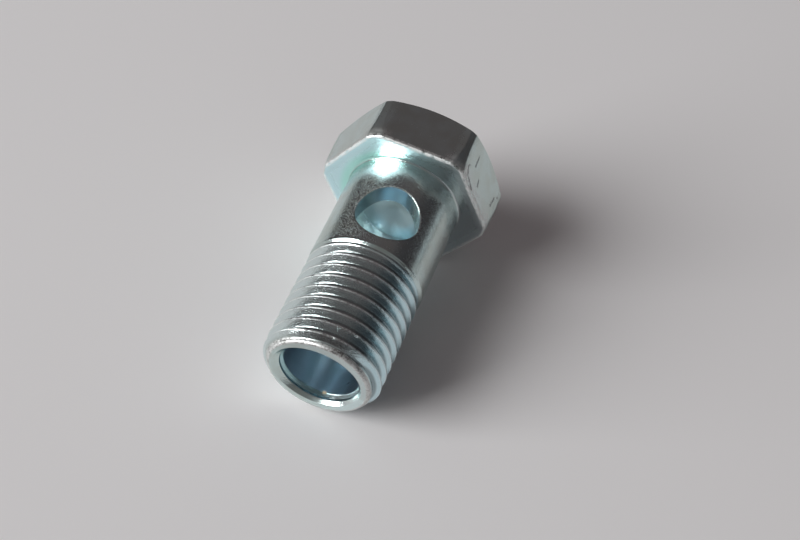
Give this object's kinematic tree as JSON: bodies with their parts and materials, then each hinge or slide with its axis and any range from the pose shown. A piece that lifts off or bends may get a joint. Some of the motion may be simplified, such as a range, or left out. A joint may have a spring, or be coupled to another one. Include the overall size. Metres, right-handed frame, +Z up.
{
  "type": "banjo bolt",
  "caption": "Hollow hexagon bolt with a cross-drilled plain shank and a threaded end, which clamps a banjo fitting between washers and carries fluid into a port.",
  "frame": {"origin": "on the surface that the bolt lies on, below the middle of its bounding box", "axes": "+Z up. The bolt lies along Y with its head towards +Y and its tip towards -Y, dipping 5.47 degrees towards the tip, because it rests on the seat edge of its lowest flat and on its thread where the tip begins to taper. +X is to the right, seen from the tip."},
  "size_m": [0.0214, 0.036, 0.0195],
  "materials": {
    "zinc_plated_steel": "bright zinc plating with a blue-white passivation, glossy with a fine grain"
  },
  "bodies": {
    "root": {"banjo_bolt": "zinc_plated_steel"}
  },
  "joints": []
}
